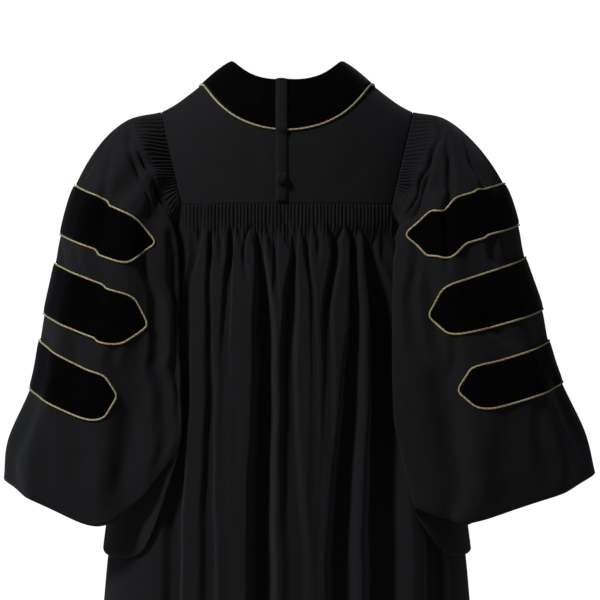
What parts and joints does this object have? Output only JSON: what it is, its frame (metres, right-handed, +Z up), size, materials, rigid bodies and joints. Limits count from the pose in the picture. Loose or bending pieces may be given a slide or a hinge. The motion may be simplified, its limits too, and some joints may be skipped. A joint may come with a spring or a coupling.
{
  "type": "graduation gown",
  "caption": "Full-length black doctoral gown as worn, hollow, with a gathered back, bell sleeves, velvet bars, velvet collar and front bands edged in gold piping.",
  "frame": {"origin": "between the wearer's shoulders, at the height of the collar's outer corners, where a wearer carries the gown", "axes": "+Z up, the wearer faces -Y, the wearer's left hand is at +X"},
  "size_m": [1.0337, 0.4425, 1.3762],
  "materials": {
    "poplin": "matte woven poplin",
    "velvet": "deep pile velvet",
    "piping": "satin corded piping"
  },
  "bodies": {
    "root": {"back_yoke": "poplin", "back_panel": "poplin", "front_left": "poplin", "front_right": "poplin", "sleeve_left": "poplin", "sleeve_right": "poplin", "hood_strap": "poplin", "hood_button": "poplin", "collar_back": "velvet", "front_band_left": "velvet", "front_band_right": "velvet", "bar_left_1": "velvet", "bar_left_2": "velvet", "bar_left_3": "velvet", "bar_right_1": "velvet", "bar_right_2": "velvet", "bar_right_3": "velvet", "piping_collar": "piping", "piping_front_left": "piping", "piping_front_right": "piping", "piping_bar_left_1": "piping", "piping_bar_left_2": "piping", "piping_bar_left_3": "piping", "piping_bar_right_1": "piping", "piping_bar_right_2": "piping", "piping_bar_right_3": "piping"}
  },
  "joints": []
}
